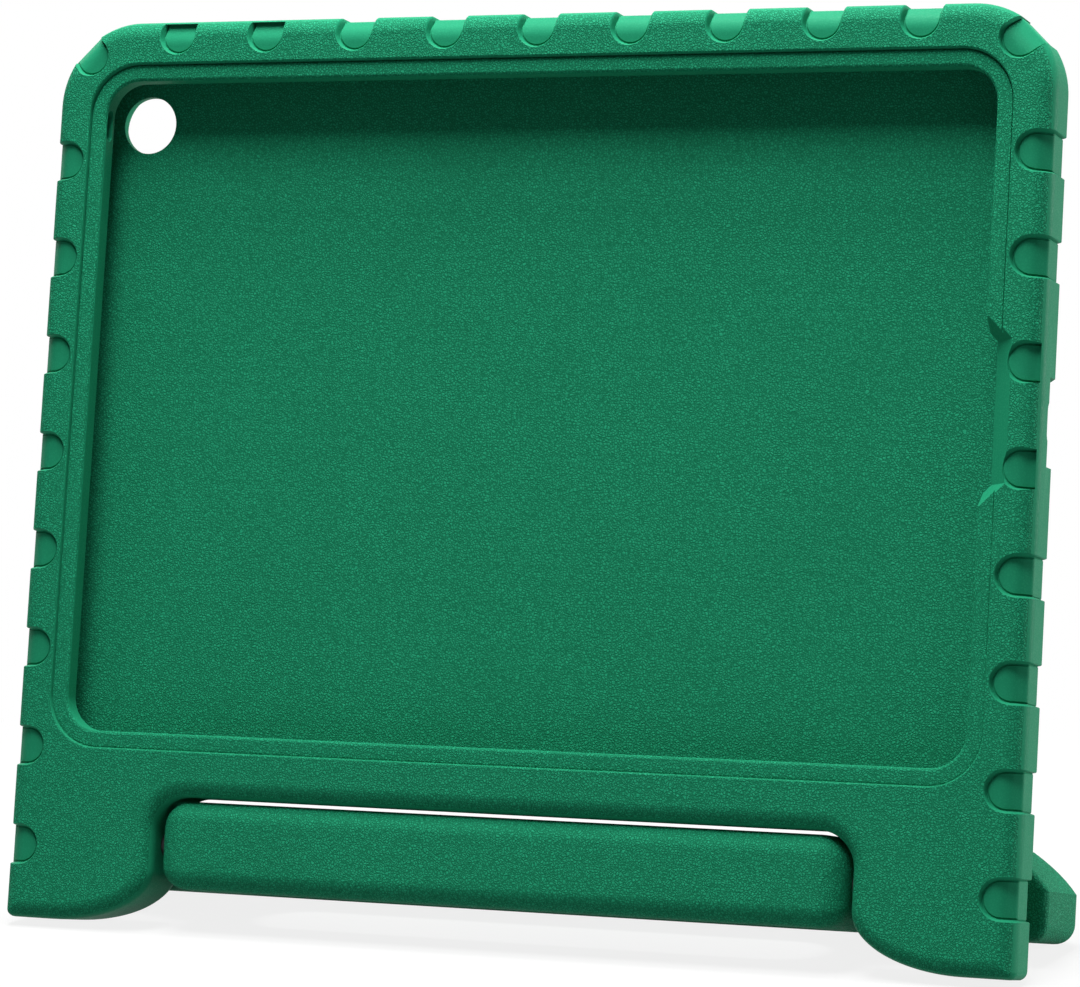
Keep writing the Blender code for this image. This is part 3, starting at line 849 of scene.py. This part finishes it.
def buildCase():
    levels = []
    for depth in sectionDepths(caseThickness, caseShape["edgeRound"]):
        outline = caseOutline(sideInset(caseThickness, depth),
                              edgeInset(caseThickness, depth, caseShape["edgeRound"]))
        levels.append((outline, caseShape["front"] - depth))
    body = skinObject("caseFoam", flatRings(levels))
    shape = socketShape
    inside = openingShape["pocketX"] - overcut
    outside = caseShape["halfWidth"] + overcut
    cutters = [screenCutter(), reliefCutter(), panelCutter(), swingCutter(), dishCutter(),
               slotCutter("portCutter", shape["portHalf"], shape["portHalfHeight"], inside, outside,
                          -shape["portDrop"], shape["height"]),
               slotCutter("jackCutter", shape["jackRadius"], shape["jackRadius"], -outside, -inside,
                          shape["jackY"], shape["height"]),
               slotCutter("powerCutter", shape["powerHalf"], shape["powerHalfHeight"],
                          -openingShape["openingX"] - shape["powerDepth"],
                          overcut - openingShape["openingX"],
                          shape["powerY"], shape["powerHeight"]),
               cameraCutter()]
    depth = handleShape["pinDepth"] + handleShape["pinGap"]
    for side in (-1, 1):
        cutters.append(pinBore(side, caseShape["notchHalf"] - overcut,
                               caseShape["notchHalf"] + depth, hingeLocal.y, hingeLocal.z))
    cutters.append(grooveCutter())
    carve(body, cutters)
    # the side band is smooth, the front and the back are grained
    for face in body.data.polygons:
        if math.hypot(face.normal.x, face.normal.y) > caseShape["smoothFrom"]:
            face.material_index = 1
    finishPiece(body, "case", "case_shell")


def buildHandle():
    body = handleBody()
    depth = handleShape["pinDepth"] + handleShape["pinGap"]
    cutters = [handHoleCutter()]
    for side in (-1, 1):
        cutters.append(pinBore(side, handleShape["barHalf"] - depth,
                               handleShape["barHalf"] + overcut, 0, 0))
    carve(body, cutters)
    turn = Matrix.Rotation(-math.radians(handleShape["drop"]), 4, "X")
    body.data.transform(Matrix.Translation(hingeLocal) @ turn)
    finishPiece(body, "handle", "handle")


buildCase()
print("case carved")
buildHandle()
print("handle carved")


# The hinge pins are the frame's own, in plain moulded plastic

pinFinish = {
    "speckleScale": 900.0,
    "low": (0.020, 0.020, 0.022, 1.0),
    "high": (0.042, 0.042, 0.045, 1.0),
    "roughness": (0.38, 0.55),
    "bump": 0.15,
    "bumpDepth": 0.0001,
}


def makePinPlastic():
    finish, tree, shader = newMaterial("pinPlastic")
    where = addNode(tree, "ShaderNodeTexCoord")
    speckle = addNode(tree, "ShaderNodeTexNoise", {"Vector": where.outputs["Object"]},
                      Scale=pinFinish["speckleScale"], Detail=3.0)
    ramp = addNode(tree, "ShaderNodeValToRGB", {"Fac": speckle.outputs["Fac"]})
    ramp.color_ramp.elements[0].color = pinFinish["low"]
    ramp.color_ramp.elements[1].color = pinFinish["high"]
    rough = addNode(tree, "ShaderNodeMapRange", {"Value": speckle.outputs["Fac"]})
    rough.inputs["To Min"].default_value = pinFinish["roughness"][0]
    rough.inputs["To Max"].default_value = pinFinish["roughness"][1]
    bump = addNode(tree, "ShaderNodeBump", {"Height": speckle.outputs["Fac"]})
    bump.inputs["Strength"].default_value = pinFinish["bump"]
    bump.inputs["Distance"].default_value = pinFinish["bumpDepth"]
    tree.links.new(ramp.outputs["Color"], shader.inputs["Base Color"])
    tree.links.new(rough.outputs["Result"], shader.inputs["Roughness"])
    tree.links.new(bump.outputs["Normal"], shader.inputs["Normal"])
    return finish


pinPlastic = makePinPlastic()
for name in ("hinge_pin_left", "hinge_pin_right"):
    pin = frame["nodes"][name]
    pin.data.materials.clear()
    pin.data.materials.append(pinPlastic)


# The floor, the lamps and the camera

stageFinish = {
    "radius": 3.0,
    "segments": 96,
    "roughness": 0.9,
    "fade": (0.18, 0.50),
    "tone": (0.24, 0.55),
    "whiteShare": 0.84,
    "backLight": 0.08,
}


def seenSocket(tree):
    # 1 for what the camera sees, also in a shine or through glass, and 0 for light on the object
    path = addNode(tree, "ShaderNodeLightPath")
    seen = addNode(tree, "ShaderNodeMath",
                   {0: path.outputs["Is Camera Ray"], 1: path.outputs["Is Glossy Ray"]},
                   operation="MAXIMUM")
    seenThrough = addNode(tree, "ShaderNodeMath",
                          {0: seen.outputs[0], 1: path.outputs["Is Transmission Ray"]},
                          operation="MAXIMUM")
    return seenThrough.outputs[0]


def makeFloor():
    # seen, it is nearly white with a soft shadow, and plain white further out; the light that it
    # sends back to the object is that of a dark grey floor
    shape = bmesh.new()
    bmesh.ops.create_circle(shape, cap_ends=True, cap_tris=False,
                            segments=stageFinish["segments"], radius=stageFinish["radius"])
    floor = makeObject("floor", shape)
    finish, tree, shader = newMaterial("paleFloor")
    shader.inputs["Roughness"].default_value = stageFinish["roughness"]
    where = addNode(tree, "ShaderNodeTexCoord")
    distance = addNode(tree, "ShaderNodeVectorMath", {0: where.outputs["Object"]},
                       operation="LENGTH")
    fade = addNode(tree, "ShaderNodeMapRange", {"Value": distance.outputs["Value"]},
                   interpolation_type="SMOOTHSTEP")
    fade.inputs["From Min"].default_value = stageFinish["fade"][0]
    fade.inputs["From Max"].default_value = stageFinish["fade"][1]
    seen = seenSocket(tree)
    tone = addNode(tree, "ShaderNodeMapRange", {"Value": seen})
    tone.inputs["To Min"].default_value = stageFinish["tone"][0]
    tone.inputs["To Max"].default_value = stageFinish["tone"][1]
    tree.links.new(tone.outputs["Result"], shader.inputs["Base Color"])
    share = addNode(tree, "ShaderNodeMapRange", {"Value": fade.outputs["Result"]})
    share.inputs["To Min"].default_value = stageFinish["whiteShare"]
    amount = addNode(tree, "ShaderNodeMath", {0: share.outputs["Result"], 1: seen},
                     operation="MULTIPLY")
    white = addNode(tree, "ShaderNodeEmission")
    mixed = addNode(tree, "ShaderNodeMixShader", {0: amount.outputs[0], 1: shader.outputs[0],
                                                  2: white.outputs[0]})
    tree.links.new(mixed.outputs[0], tree.nodes["Material Output"].inputs["Surface"])
    floor.data.materials.append(finish)


def makeWorld():
    world = bpy.data.worlds.new("studio")
    bpy.context.scene.world = world
    world.use_nodes = True
    tree = world.node_tree
    back = tree.nodes["Background"]
    strength = addNode(tree, "ShaderNodeMapRange", {"Value": seenSocket(tree)})
    strength.inputs["To Min"].default_value = stageFinish["backLight"]
    strength.inputs["To Max"].default_value = 1.0
    back.inputs["Color"].default_value = (1.0, 1.0, 1.0, 1.0)
    tree.links.new(strength.outputs["Result"], back.inputs["Strength"])


lampAim = (0.0, 0.0, 0.11)

studio = {
    "front": {"place": (0.00, -0.55, 1.35), "size": 0.5, "power": 21.5},
    "top": {"place": (0.00, 0.05, 0.95), "size": 0.4, "power": 13.0},
    "right": {"place": (1.30, 0.95, 0.22), "size": 0.4, "power": 21.0},
    "left": {"place": (-1.10, 0.80, 0.60), "size": 0.8, "power": 3.5},
}


def addLamp(name, place, size, power):
    lamp = bpy.data.lights.new(name, "AREA")
    lamp.size = size
    lamp.energy = power
    holder = bpy.data.objects.new(name, lamp)
    holder.location = place
    aim = Vector(lampAim) - holder.location
    holder.rotation_euler = aim.to_track_quat("-Z", "Y").to_euler()
    bpy.context.scene.collection.objects.link(holder)


cameraView = {
    "place": (0.40074, -0.98896, 0.18163),
    "turn": (86.2498, 0.3045, 21.9872),
    "lens": 141.78,
}


def addCamera():
    lens = bpy.data.cameras.new("camera")
    lens.sensor_width = 36.0
    lens.lens = cameraView["lens"]
    holder = bpy.data.objects.new("camera", lens)
    holder.location = cameraView["place"]
    holder.rotation_euler = [math.radians(angle) for angle in cameraView["turn"]]
    bpy.context.scene.collection.objects.link(holder)
    bpy.context.scene.camera = holder


makeFloor()
makeWorld()
for name, lamp in studio.items():
    addLamp(name, **lamp)
addCamera()
bpy.context.scene.view_settings.view_transform = "Standard"
print("stage set")
